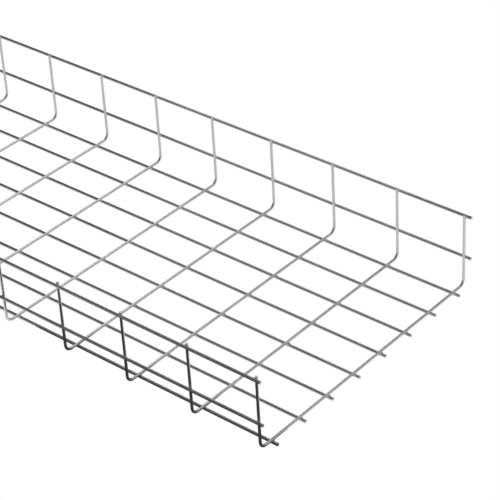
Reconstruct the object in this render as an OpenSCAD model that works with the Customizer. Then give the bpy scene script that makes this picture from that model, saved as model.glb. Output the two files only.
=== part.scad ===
// Wire mesh cable basket: a U-shaped tray of welded steel wire.
// Straight long wires run the length of the tray. Cross wires bent to a U lie
// inside them, and each crossing is a resistance weld that has pressed the
// cross wire a little way down onto the long wire.
// X runs along the tray, Y across it, and Z up. The origin is on the floor
// under the middle of the tray.

/* [Tray] */
// Nominal length, between the first and the last cross wire
tray_len = 3000; // [500:100:3000]
// Overall width, over the outermost wires of the two side walls
tray_w = 400; // [200:50:600]
// Overall height, from the floor to the top of the side walls' top wires
tray_h = 105; // [80:1:150]

/* [Mesh] */
// Distance from one cross wire to the next along the tray
cross_pitch = 100; // [80:5:200]
// Distance from one long wire to the next across the floor
floor_pitch = 50; // [40:1:60]
// Height of the middle of the side walls' lower long wire
side_wire_h = 44; // [28:1:60]
// Length of long wire left past the last cross wire's middle at each end
end_stub = 8.5; // [5:0.5:40]

/* [Wire] */
// Diameter of the long wires
long_wire_d = 4; // [3:0.1:6]
// Diameter of the cross wires
cross_wire_d = 3.6; // [3:0.1:6]
// Radius of the cross wires' bends, on the inner side
bend_r = 7.5; // [4:0.5:12]
// Height of the cross wires' cut ends above the top wires
tip_rise = 1; // [0:0.5:6]
// Depth that the cross wires are pressed onto the long wires at a weld
weld_depth = 0.6; // [0.2:0.1:1]

/* [Hidden] */
$fn = 48;
zinc = "silver";
zinc_cross = "gainsboro";

// Whole mesh cells along the tray, and long wires that its floor has room for
cells_long = floor(tray_len / cross_pitch);
cross_count = cells_long + 1;
floor_count = floor(tray_w / floor_pitch);

// The cross wires' middle line stands off the long wires' by this much
stand_off = (long_wire_d + cross_wire_d) / 2 - weld_depth;
long_len = cells_long * cross_pitch + 2 * end_stub;

// Middles of the long wires: across the floor, and in the side walls
floor_z = long_wire_d / 2;
side_y = (tray_w - long_wire_d) / 2;
top_z = tray_h - long_wire_d / 2;
function centred(i, count, pitch) = (i - (count - 1) / 2) * pitch;
side_wires = [
    ["near_side_wire_lower", -side_y, side_wire_h],
    ["near_side_wire_top", -side_y, top_z],
    ["far_side_wire_lower", side_y, side_wire_h],
    ["far_side_wire_top", side_y, top_z],
];
floor_wires = [
    for (i = [0 : floor_count - 1])
        [str("floor_wire_", i + 1), centred(i, floor_count, floor_pitch), floor_z]
];
long_wires = concat(floor_wires, side_wires);

// Middle line of a cross wire: flat run, bend, upright
cross_z = floor_z + stand_off;
upright_y = side_y - stand_off;
bend_mid_r = bend_r + cross_wire_d / 2;
tip_z = tray_h + tip_rise;

// Places of the cross wires along the tray, and their names: cross_wire_01 and on
cross_x = [for (i = [0 : cross_count - 1]) centred(i, cross_count, cross_pitch)];
function two_figures(n) = n < 10 ? str("0", n) : str(n);
cross_names = [for (i = [0 : cross_count - 1]) str("cross_wire_", two_figures(i + 1))];

// A round bar along X, centred on X = 0
module bar_x(d, len) {
    rotate([0, 90, 0]) cylinder(d = d, h = len, center = true);
}

// One long wire, straight and cut square at both ends
module long_wire(y, z) {
    color(zinc) translate([0, y, z]) bar_x(long_wire_d, long_len);
}

// The bend and the upright at the +Y end of a cross wire
module bend_and_upright() {
    translate([0, upright_y - bend_mid_r, cross_z + bend_mid_r])
        rotate([0, 90, 0])
            rotate_extrude(angle = 90)
                translate([bend_mid_r, 0]) circle(d = cross_wire_d);
    translate([0, upright_y, cross_z + bend_mid_r])
        cylinder(d = cross_wire_d, h = tip_z - cross_z - bend_mid_r);
}

// One cross wire: a U with the seats of its welds pressed into its outer side
module cross_wire(x) {
    flat_len = 2 * (upright_y - bend_mid_r);
    color(zinc_cross) translate([x, 0, 0]) difference() {
        union() {
            translate([0, 0, cross_z]) rotate([0, 0, 90]) bar_x(cross_wire_d, flat_len);
            bend_and_upright();
            mirror([0, 1, 0]) bend_and_upright();
        }
        for (w = long_wires)
            translate([0, w[1], w[2]]) bar_x(long_wire_d, 2 * cross_wire_d);
    }
}

for (w = long_wires)
    long_wire(w[1], w[2]);
for (i = [0 : cross_count - 1])
    cross_wire(cross_x[i]);
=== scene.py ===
"""A wire mesh cable basket in bright zinc-plated wire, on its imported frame, in a white studio."""

import math

import bpy
from mathutils import Matrix, Vector


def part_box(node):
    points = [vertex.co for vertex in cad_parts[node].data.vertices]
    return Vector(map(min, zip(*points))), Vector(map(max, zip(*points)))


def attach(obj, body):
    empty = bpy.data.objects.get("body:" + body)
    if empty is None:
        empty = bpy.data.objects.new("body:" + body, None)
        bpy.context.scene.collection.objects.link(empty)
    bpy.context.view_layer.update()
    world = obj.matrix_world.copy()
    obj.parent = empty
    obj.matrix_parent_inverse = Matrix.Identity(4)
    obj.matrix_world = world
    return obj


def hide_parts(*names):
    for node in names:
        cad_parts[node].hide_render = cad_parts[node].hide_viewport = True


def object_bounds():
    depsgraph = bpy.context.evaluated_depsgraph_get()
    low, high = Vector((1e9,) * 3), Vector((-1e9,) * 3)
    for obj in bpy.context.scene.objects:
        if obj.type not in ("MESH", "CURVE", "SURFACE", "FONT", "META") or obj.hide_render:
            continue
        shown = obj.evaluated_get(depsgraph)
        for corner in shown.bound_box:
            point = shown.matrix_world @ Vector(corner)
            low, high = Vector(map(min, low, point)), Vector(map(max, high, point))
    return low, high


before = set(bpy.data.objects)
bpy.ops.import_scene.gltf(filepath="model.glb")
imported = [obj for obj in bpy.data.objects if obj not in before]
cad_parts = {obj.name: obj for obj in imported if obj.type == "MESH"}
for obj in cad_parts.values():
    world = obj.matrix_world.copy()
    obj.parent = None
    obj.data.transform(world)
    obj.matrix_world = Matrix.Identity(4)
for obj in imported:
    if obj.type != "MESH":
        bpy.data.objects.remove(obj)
cad_low, cad_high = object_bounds()


# ---------------------------------------------------------------------------
# Camera. A long lens held above the near side wall, close to the right-hand
# end, and looking back down the length of the tray.
# ---------------------------------------------------------------------------
tray_end = cad_high.x
camera_place = Vector((tray_end + 1.108, -1.441, 1.399))
camera_aim = Vector((tray_end - 0.225, 0.049, 0.050))
camera_roll = math.radians(-3.37)

lens = bpy.data.cameras.new("studio_camera")
lens.lens = 141.5
lens.sensor_width = 36.0
lens.clip_start = 0.05
lens.clip_end = 200.0
camera = bpy.data.objects.new("studio_camera", lens)
bpy.context.collection.objects.link(camera)
sight = (camera_aim - camera_place).to_track_quat("-Z", "Y").to_matrix().to_4x4()
camera.matrix_world = Matrix.Translation(camera_place) @ sight @ Matrix.Rotation(camera_roll, 4, "Z")
bpy.context.scene.camera = camera


# ---------------------------------------------------------------------------
# Studio. A wide white floor in a soft grey room that is brighter beyond the
# right-hand end. Shiny wire shows what it mirrors: a black card on the floor by
# the near right corner darkens it, and a light card overhead gives it an edge.
# ---------------------------------------------------------------------------
bpy.context.scene.view_settings.view_transform = "Standard"
bpy.context.scene.view_settings.look = "None"
paper_white = 1.0
paper_in_mirrors = 0.70
room_dim, room_bright = 0.14, 0.19
floor_reach = 60
floor_drop, card_drop = 0.0002, 0.0001
light_card_height = 0.66


def flat_sheet(name, low, high, z):
    """A level rectangle between two corners, facing up."""
    mesh = bpy.data.meshes.new(name)
    corners = [(low[0], low[1], z), (high[0], low[1], z), (high[0], high[1], z), (low[0], high[1], z)]
    mesh.from_pydata(corners, [], [(0, 1, 2, 3)])
    sheet = bpy.data.objects.new(name, mesh)
    bpy.context.collection.objects.link(sheet)
    return sheet


def glow(name, seen, mirrored):
    """An evenly lit surface: one brightness to look at, and one for shiny things to mirror."""
    material = bpy.data.materials.new(name)
    material.use_nodes = True
    tree = material.node_tree
    tree.nodes.clear()
    ray = tree.nodes.new("ShaderNodeLightPath")
    shades = []
    for brightness in (mirrored, seen):
        shade = tree.nodes.new("ShaderNodeEmission")
        shade.inputs["Strength"].default_value = brightness
        shades.append(shade)
    pick = tree.nodes.new("ShaderNodeMixShader")
    out = tree.nodes.new("ShaderNodeOutputMaterial")
    tree.links.new(ray.outputs["Is Camera Ray"], pick.inputs["Fac"])
    tree.links.new(shades[0].outputs["Emission"], pick.inputs[1])
    tree.links.new(shades[1].outputs["Emission"], pick.inputs[2])
    tree.links.new(pick.outputs["Shader"], out.inputs["Surface"])
    return material


floor = flat_sheet(
    "studio_floor", (-floor_reach, -floor_reach), (floor_reach, floor_reach), -floor_drop)
floor.data.materials.append(glow("white_paper", paper_white, paper_in_mirrors))

card = flat_sheet("black_card", (tray_end - 0.38, -1.3), (tray_end + 1.1, -0.145), -card_drop)
card.data.materials.append(glow("black_card", 0.0, 0.015))
card.visible_camera = False
card.visible_diffuse = False
card.visible_shadow = False

sky_card = flat_sheet("light_card", (tray_end - 0.98, 0.22), (tray_end - 0.35, 0.62), light_card_height)
sky_card.data.materials.append(glow("light_card", 0.0, 1.5))
sky_card.visible_camera = False
sky_card.visible_shadow = False

softbox_place = Vector((4.5, 5.0, 4.0))
softbox_aim = Vector((1.2, 0.0, 0.0))
light = bpy.data.lights.new("back_softbox", "AREA")
light.shape = "RECTANGLE"
light.size, light.size_y = 4.0, 3.0
light.energy = 25
light.color = (1.0, 0.985, 0.96)
softbox = bpy.data.objects.new("back_softbox", light)
bpy.context.collection.objects.link(softbox)
turn = (softbox_aim - softbox_place).to_track_quat("-Z", "Y").to_matrix().to_4x4()
softbox.matrix_world = Matrix.Translation(softbox_place) @ turn
softbox.visible_camera = False

world = bpy.data.worlds.new("studio_room")
world.use_nodes = True
room = world.node_tree
room.nodes.clear()
way = room.nodes.new("ShaderNodeTexCoord")
split = room.nodes.new("ShaderNodeSeparateXYZ")
room.links.new(way.outputs["Generated"], split.inputs["Vector"])
rise = room.nodes.new("ShaderNodeMapRange")
rise.interpolation_type = "SMOOTHSTEP"
rise.inputs["From Min"].default_value = -0.5
rise.inputs["From Max"].default_value = 0.6
rise.inputs["To Min"].default_value = room_dim
rise.inputs["To Max"].default_value = room_bright
room.links.new(split.outputs["X"], rise.inputs["Value"])
walls = room.nodes.new("ShaderNodeBackground")
walls.inputs["Color"].default_value = (1.0, 0.995, 0.96, 1)
room.links.new(rise.outputs["Result"], walls.inputs["Strength"])
behind = room.nodes.new("ShaderNodeBackground")
behind.inputs["Color"].default_value = (1, 1, 1, 1)
behind.inputs["Strength"].default_value = paper_white
ray = room.nodes.new("ShaderNodeLightPath")
pick = room.nodes.new("ShaderNodeMixShader")
out = room.nodes.new("ShaderNodeOutputWorld")
room.links.new(ray.outputs["Is Camera Ray"], pick.inputs["Fac"])
room.links.new(walls.outputs["Background"], pick.inputs[1])
room.links.new(behind.outputs["Background"], pick.inputs[2])
room.links.new(pick.outputs["Shader"], out.inputs["Surface"])
bpy.context.scene.world = world


# ---------------------------------------------------------------------------
# Zinc plating. Drawn steel wire, barrel-plated bright: a hard grey metal with
# faint streaks along the draw, cloudy patches and a few dull specks.
# ---------------------------------------------------------------------------
def zinc_plating(name, clean, cloudy, gloss):
    """Bright zinc that follows a wire's 'wire_path' attribute: metres along it, then its section."""
    material = bpy.data.materials.new(name)
    material.use_nodes = True
    tree = material.node_tree
    surface = tree.nodes["Principled BSDF"]
    surface.inputs["Metallic"].default_value = 1.0

    path = tree.nodes.new("ShaderNodeAttribute")
    path.attribute_name = "wire_path"

    def noise(stretch, scale, detail, label):
        place = tree.nodes.new("ShaderNodeMapping")
        place.inputs["Scale"].default_value = stretch
        grain = tree.nodes.new("ShaderNodeTexNoise")
        grain.inputs["Scale"].default_value = scale
        grain.inputs["Detail"].default_value = detail
        grain.label = label
        tree.links.new(path.outputs["Vector"], place.inputs["Vector"])
        tree.links.new(place.outputs["Vector"], grain.inputs["Vector"])
        return grain.outputs["Fac"]

    def ramp(value, start, end, low, high):
        node = tree.nodes.new("ShaderNodeMapRange")
        node.inputs["From Min"].default_value = start
        node.inputs["From Max"].default_value = end
        node.inputs["To Min"].default_value = low
        node.inputs["To Max"].default_value = high
        tree.links.new(value, node.inputs["Value"])
        return node.outputs["Result"]

    clouds = noise((1.0, 6.0, 6.0), 22.0, 3.0, "cloudy patches")
    streaks = noise((0.04, 1.0, 1.0), 1800.0, 4.0, "drawing streaks")
    specks = noise((1.0, 1.0, 1.0), 420.0, 2.0, "dull specks")

    tone = tree.nodes.new("ShaderNodeMix")
    tone.data_type = "RGBA"
    tone.inputs[6].default_value = (*clean, 1)
    tone.inputs[7].default_value = (*cloudy, 1)
    tree.links.new(ramp(clouds, 0.38, 0.66, 0.0, 1.0), tone.inputs[0])

    worn = tree.nodes.new("ShaderNodeMix")
    worn.data_type = "RGBA"
    worn.blend_type = "MULTIPLY"
    worn.inputs[7].default_value = (0.86, 0.85, 0.83, 1)
    tree.links.new(ramp(specks, 0.60, 0.72, 0.0, 0.8), worn.inputs[0])
    tree.links.new(tone.outputs[2], worn.inputs[6])
    tree.links.new(worn.outputs[2], surface.inputs["Base Color"])

    rough = tree.nodes.new("ShaderNodeMath")
    rough.operation = "ADD"
    tree.links.new(ramp(streaks, 0.3, 0.7, gloss - 0.06, gloss + 0.06), rough.inputs[0])
    tree.links.new(ramp(specks, 0.55, 0.72, 0.0, 0.08), rough.inputs[1])
    tree.links.new(rough.outputs["Value"], surface.inputs["Roughness"])

    bump = tree.nodes.new("ShaderNodeBump")
    bump.inputs["Strength"].default_value = 0.12
    bump.inputs["Distance"].default_value = 0.00006
    tree.links.new(streaks, bump.inputs["Height"])
    tree.links.new(bump.outputs["Normal"], surface.inputs["Normal"])
    return material


# The real plating is the same on all wires. The long wires get a darker copy of it, painted shade for the
# dark room they mirror. The cross wires get a lighter copy, painted light.
long_zinc_painted_shade = zinc_plating("zinc_long_wire_painted_shade", (0.58, 0.595, 0.58), (0.51, 0.53, 0.52), 0.20)
cross_zinc_painted_light = zinc_plating("zinc_cross_wire_painted_light", (0.82, 0.845, 0.825), (0.74, 0.77, 0.75), 0.30)
cut_zinc = zinc_plating("zinc_cut_end", (0.95, 0.93, 0.92), (0.88, 0.86, 0.85), 0.42)


# ---------------------------------------------------------------------------
# Long wires. Twelve straight wires, 4 mm thick, cropped square at both ends:
# eight in the floor and two in each side wall.
# ---------------------------------------------------------------------------
wire_sides = 24
wire_points = 61
seed_spacing = 7.31


def new_tree(name, sizes):
    """A geometry tree with these named inputs, and its group input and output nodes."""
    tree = bpy.data.node_groups.new(name, "GeometryNodeTree")
    tree.interface.new_socket("Geometry", in_out="OUTPUT", socket_type="NodeSocketGeometry")
    kinds = {type(None): "NodeSocketMaterial", float: "NodeSocketFloat", int: "NodeSocketInt"}
    for size, value in sizes.items():
        kind = kinds[type(value)]
        socket = tree.interface.new_socket(size, in_out="INPUT", socket_type=kind)
        if value is not None:
            socket.default_value = value
    return tree, tree.nodes.new("NodeGroupInput"), tree.nodes.new("NodeGroupOutput")


def add(tree, kind, links=(), **settings):
    """One node of a geometry tree, with its settings and its inputs, each a socket or a value."""
    node = tree.nodes.new(kind)
    for key, value in settings.items():
        setattr(node, key, value)
    for key, value in dict(links).items():
        if isinstance(value, bpy.types.NodeSocket):
            tree.links.new(value, node.inputs[key])
        else:
            node.inputs[key].default_value = value
    return node


def skin_wire(tree, centre_line, diameter, seed, sides, material):
    """Gives a centre line its round section, and the 'wire_path' attribute that the plating follows."""
    radius = add(tree, "ShaderNodeMath", {0: diameter, 1: 0.5}, operation="MULTIPLY").outputs[0]
    circle = add(tree, "GeometryNodeCurvePrimitiveCircle", {"Resolution": sides, "Radius": radius})

    along = add(tree, "GeometryNodeCaptureAttribute", {"Geometry": centre_line})
    along.capture_items.new("FLOAT", "Along")
    run = add(tree, "GeometryNodeSplineParameter").outputs["Length"]
    tree.links.new(run, along.inputs[1])

    around = add(tree, "GeometryNodeCaptureAttribute", {"Geometry": circle.outputs["Curve"]})
    around.capture_items.new("VECTOR", "Around")
    spot = add(tree, "GeometryNodeInputPosition").outputs["Position"]
    tree.links.new(spot, around.inputs[1])

    skin = add(tree, "GeometryNodeCurveToMesh", {
        "Curve": along.outputs["Geometry"], "Profile Curve": around.outputs["Geometry"],
        "Fill Caps": True})
    split = add(tree, "ShaderNodeSeparateXYZ", {"Vector": around.outputs[1]})
    shift = add(tree, "ShaderNodeMath", {0: seed, 1: seed_spacing, 2: along.outputs[1]},
                operation="MULTIPLY_ADD")
    path = add(tree, "ShaderNodeCombineXYZ", {
        "X": shift.outputs[0], "Y": split.outputs["X"], "Z": split.outputs["Y"]})
    stored = add(tree, "GeometryNodeStoreNamedAttribute", {
        "Geometry": skin.outputs["Mesh"], "Name": "wire_path", "Value": path.outputs["Vector"]},
        data_type="FLOAT_VECTOR", domain="POINT")
    real = add(tree, "GeometryNodeRealizeInstances", {"Geometry": stored.outputs["Geometry"]})
    plated = add(tree, "GeometryNodeSetMaterial", {
        "Geometry": real.outputs["Geometry"], "Material": material})
    corners = add(tree, "GeometryNodeInputMeshFaceNeighbors").outputs["Vertex Count"]
    is_cut = add(tree, "FunctionNodeCompare", {2: corners, 3: 4}, data_type="INT",
                 operation="GREATER_THAN")
    return add(tree, "GeometryNodeSetMaterial", {
        "Geometry": plated.outputs["Geometry"], "Selection": is_cut.outputs["Result"],
        "Material": cut_zinc})


def made_piece(name, tree, values):
    """Runs a tree with these inputs and keeps what it makes as a plain mesh object at the origin."""
    carrier = bpy.data.objects.new(name + "_carrier", bpy.data.meshes.new(name + "_carrier"))
    bpy.context.collection.objects.link(carrier)
    modifier = carrier.modifiers.new("make", "NODES")
    modifier.node_group = tree
    for item in tree.interface.items_tree:
        if item.in_out == "INPUT" and item.name in values:
            modifier[item.identifier] = values[item.name]
    depsgraph = bpy.context.evaluated_depsgraph_get()
    mesh = bpy.data.meshes.new_from_object(carrier.evaluated_get(depsgraph), depsgraph=depsgraph)
    carrier.modifiers.remove(modifier)
    bpy.data.objects.remove(carrier)
    mesh.name = name
    piece = bpy.data.objects.new(name, mesh)
    bpy.context.collection.objects.link(piece)
    return piece


def smooth_sides(piece):
    """Smooth shading on the round of a wire, with its cut ends left crisp."""
    piece.data.shade_smooth()
    piece.data.set_sharp_from_angle(angle=math.radians(40))


tree, given, made = new_tree("long_wire", {
    "Length": 3.0, "Diameter": 0.004, "Across": 0.0, "Height": 0.002, "Seed": 1.0, "Plating": None})
half = add(tree, "ShaderNodeMath", {0: given.outputs["Length"], 1: 0.5},
           operation="MULTIPLY").outputs[0]
back = add(tree, "ShaderNodeMath", {0: half, 1: -1.0}, operation="MULTIPLY").outputs[0]
start = add(tree, "ShaderNodeCombineXYZ", {
    "X": back, "Y": given.outputs["Across"], "Z": given.outputs["Height"]})
end = add(tree, "ShaderNodeCombineXYZ", {
    "X": half, "Y": given.outputs["Across"], "Z": given.outputs["Height"]})
line = add(tree, "GeometryNodeCurvePrimitiveLine", {"Start": start.outputs[0], "End": end.outputs[0]})
fine = add(tree, "GeometryNodeResampleCurve", {"Curve": line.outputs["Curve"], "Count": wire_points})
skinned = skin_wire(tree, fine.outputs["Curve"], given.outputs["Diameter"], given.outputs["Seed"],
                    wire_sides, given.outputs["Plating"])
tree.links.new(skinned.outputs["Geometry"], made.inputs["Geometry"])
long_tree = tree

long_names = sorted(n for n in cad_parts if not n.startswith("cross_wire"))
for number, node in enumerate(long_names):
    low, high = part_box(node)
    wire = made_piece(node + "_zinc", long_tree, {
        "Length": high[0] - low[0], "Diameter": high[2] - low[2], "Across": (low[1] + high[1]) / 2,
        "Height": (low[2] + high[2]) / 2, "Seed": float(number), "Plating": long_zinc_painted_shade})
    smooth_sides(wire)
    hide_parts(node)
    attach(wire, "root")


# ---------------------------------------------------------------------------
# Cross wires. Each is one wire bent up at both ends to a U, so that it makes a
# rib of the floor and a post of each side wall. Their tips are cropped square.
# ---------------------------------------------------------------------------
bend_radius = 0.0075
bend_steps = 8
rib_sides = 20
first_rib_seed = 20

tree, given, made = new_tree("cross_wire", {
    "Place": 0.0, "Diameter": 0.0036, "Half width": 0.1948, "Low": 0.0052, "Tip": 0.106, "Bend": 0.0093,
    "Seed": 1.0, "Plating": None})
left = add(tree, "ShaderNodeMath", {0: given.outputs["Half width"], 1: -1.0},
           operation="MULTIPLY").outputs[0]
seed_line = add(tree, "GeometryNodeCurvePrimitiveLine", {"Start": (0, 0, 0), "End": (0, 0, 1)})
four = add(tree, "GeometryNodeResampleCurve", {"Curve": seed_line.outputs["Curve"], "Count": 4})
which = add(tree, "GeometryNodeInputIndex").outputs["Index"]
corners = add(tree, "GeometryNodeIndexSwitch", {"Index": which}, data_type="VECTOR")
corners.index_switch_items.new()
corners.index_switch_items.new()
right = given.outputs["Half width"]
for number, (across, height) in enumerate(((left, "Tip"), (left, "Low"), (right, "Low"), (right, "Tip"))):
    corner = add(tree, "ShaderNodeCombineXYZ", {
        "X": given.outputs["Place"], "Y": across, "Z": given.outputs[height]})
    tree.links.new(corner.outputs[0], corners.inputs[number + 1])
bent = add(tree, "GeometryNodeSetPosition", {
    "Geometry": four.outputs["Curve"], "Position": corners.outputs[0]})
filleted = add(tree, "GeometryNodeFilletCurve", {
    "Curve": bent.outputs["Geometry"], "Radius": given.outputs["Bend"]})
filleted.mode = "POLY"
filleted.inputs["Count"].default_value = bend_steps
skinned = skin_wire(tree, filleted.outputs["Curve"], given.outputs["Diameter"], given.outputs["Seed"],
                    rib_sides, given.outputs["Plating"])
tree.links.new(skinned.outputs["Geometry"], made.inputs["Geometry"])
cross_tree = tree

cross_names = sorted(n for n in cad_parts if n.startswith("cross_wire"))
for number, node in enumerate(cross_names):
    low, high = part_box(node)
    thick = high[0] - low[0]
    wire = made_piece(node + "_zinc", cross_tree, {
        "Place": (low[0] + high[0]) / 2, "Diameter": thick, "Half width": high[1] - thick / 2,
        "Low": low[2] + thick / 2, "Tip": high[2], "Bend": bend_radius + thick / 2,
        "Seed": float(number + first_rib_seed), "Plating": cross_zinc_painted_light})
    smooth_sides(wire)
    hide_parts(node)
    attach(wire, "root")


# ---------------------------------------------------------------------------
# Welds. Every crossing is spot welded, and the squeeze leaves a small flattened
# bead of metal in the corners between the two wires, plated over with the rest.
# ---------------------------------------------------------------------------
bead_half_length, bead_half_width, bead_half_height = 0.0041, 0.0019, 0.0013
bead_lumpiness = 0.0009
first_bead_seed = 3
upright_turn = math.radians(90)
# The beads are real lumps of weld metal, but their lighter, greener plating is a painted highlight for
# the light spots at the crossings.
bead_zinc_painted_highlight = zinc_plating("zinc_weld_bead_painted_highlight", (0.86, 0.90, 0.88), (0.76, 0.80, 0.78), 0.42)

tree, given, made = new_tree("weld_beads", {
    "Span": 3.0, "Rise": 0.35, "Columns": 31, "Rows": 8, "Across": 0.0, "Height": 0.004, "Tilt": 0.0,
    "Bead Length": bead_half_length, "Bead Width": bead_half_width, "Thickness": bead_half_height,
    "Seed": 1, "Plating": None})
spots = add(tree, "GeometryNodeMeshGrid", {
    "Size X": given.outputs["Span"], "Size Y": given.outputs["Rise"],
    "Vertices X": given.outputs["Columns"], "Vertices Y": given.outputs["Rows"]})
flat = add(tree, "ShaderNodeCombineXYZ", {
    "X": given.outputs["Bead Length"], "Y": given.outputs["Bead Width"],
    "Z": given.outputs["Thickness"]})
ball = add(tree, "GeometryNodeMeshIcoSphere", {"Radius": 1.0, "Subdivisions": 2})
vary = add(tree, "FunctionNodeRandomValue", {"Min": (0.86, 0.86, 0.8), "Max": (1.1, 1.1, 1.2),
                                             "Seed": given.outputs["Seed"]}, data_type="FLOAT_VECTOR")
size = add(tree, "ShaderNodeVectorMath", {0: flat.outputs[0], 1: vary.outputs[0]}, operation="MULTIPLY")
turn = add(tree, "FunctionNodeRandomValue", {"Min": (0, 0, -0.2), "Max": (0, 0, 0.2),
                                             "Seed": given.outputs["Seed"]}, data_type="FLOAT_VECTOR")
placed = add(tree, "GeometryNodeInstanceOnPoints", {
    "Points": spots.outputs["Mesh"], "Instance": ball.outputs["Mesh"], "Rotation": turn.outputs[0],
    "Scale": size.outputs["Vector"]})
real = add(tree, "GeometryNodeRealizeInstances", {"Geometry": placed.outputs["Instances"]})
lump = add(tree, "ShaderNodeTexNoise", {"Scale": 420.0, "Detail": 1.0})
rough = add(tree, "ShaderNodeVectorMath", {0: lump.outputs["Color"], 1: (0.5, 0.5, 0.5)},
            operation="SUBTRACT")
push = add(tree, "ShaderNodeVectorMath", {0: rough.outputs["Vector"], "Scale": bead_lumpiness},
           operation="SCALE")
lumpy = add(tree, "GeometryNodeSetPosition", {
    "Geometry": real.outputs["Geometry"], "Offset": push.outputs["Vector"]})
tilt = add(tree, "ShaderNodeCombineXYZ", {"X": given.outputs["Tilt"]})
place = add(tree, "ShaderNodeCombineXYZ", {"Y": given.outputs["Across"], "Z": given.outputs["Height"]})
stood = add(tree, "GeometryNodeTransform", {
    "Geometry": lumpy.outputs["Geometry"], "Translation": place.outputs[0],
    "Rotation": tilt.outputs[0]})
spot = add(tree, "GeometryNodeInputPosition").outputs["Position"]
stored = add(tree, "GeometryNodeStoreNamedAttribute", {
    "Geometry": stood.outputs["Geometry"], "Name": "wire_path", "Value": spot},
    data_type="FLOAT_VECTOR", domain="POINT")
plated = add(tree, "GeometryNodeSetMaterial", {
    "Geometry": stored.outputs["Geometry"], "Material": given.outputs["Plating"]})
tree.links.new(plated.outputs["Geometry"], made.inputs["Geometry"])
bead_tree = tree


def middle(node, axis):
    """Middle of a CAD node's box along one axis."""
    low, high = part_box(node)
    return (low[axis] + high[axis]) / 2


ribs = [middle(node, 0) for node in cross_names]
floor_names = [node for node in long_names if node.startswith("floor")]
rows = [middle(node, 1) for node in floor_names]
post_low, post_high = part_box(cross_names[0])
wire_low, wire_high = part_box(floor_names[0])
seam = (wire_high[2] + post_low[2]) / 2
weld_fields = [("floor_welds", len(rows), max(rows) - min(rows), 0.0, seam, 0.0)]
for side in ("near", "far"):
    lower, top = middle(side + "_side_wire_lower", 2), middle(side + "_side_wire_top", 2)
    wall_low, wall_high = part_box(side + "_side_wire_top")
    inner, outer = (wall_high[1], post_low[1]) if side == "near" else (wall_low[1], post_high[1])
    weld_fields.append((side + "_side_welds", 2, top - lower, (inner + outer) / 2, (lower + top) / 2,
                        upright_turn))
for number, (name, row_count, rise_span, across, height, tilt_angle) in enumerate(weld_fields):
    beads = made_piece(name, bead_tree, {
        "Span": max(ribs) - min(ribs), "Rise": rise_span, "Columns": len(ribs), "Rows": row_count,
        "Across": across, "Height": height, "Tilt": tilt_angle, "Seed": number + first_bead_seed,
        "Plating": bead_zinc_painted_highlight})
    beads.data.shade_smooth()
    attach(beads, "root")
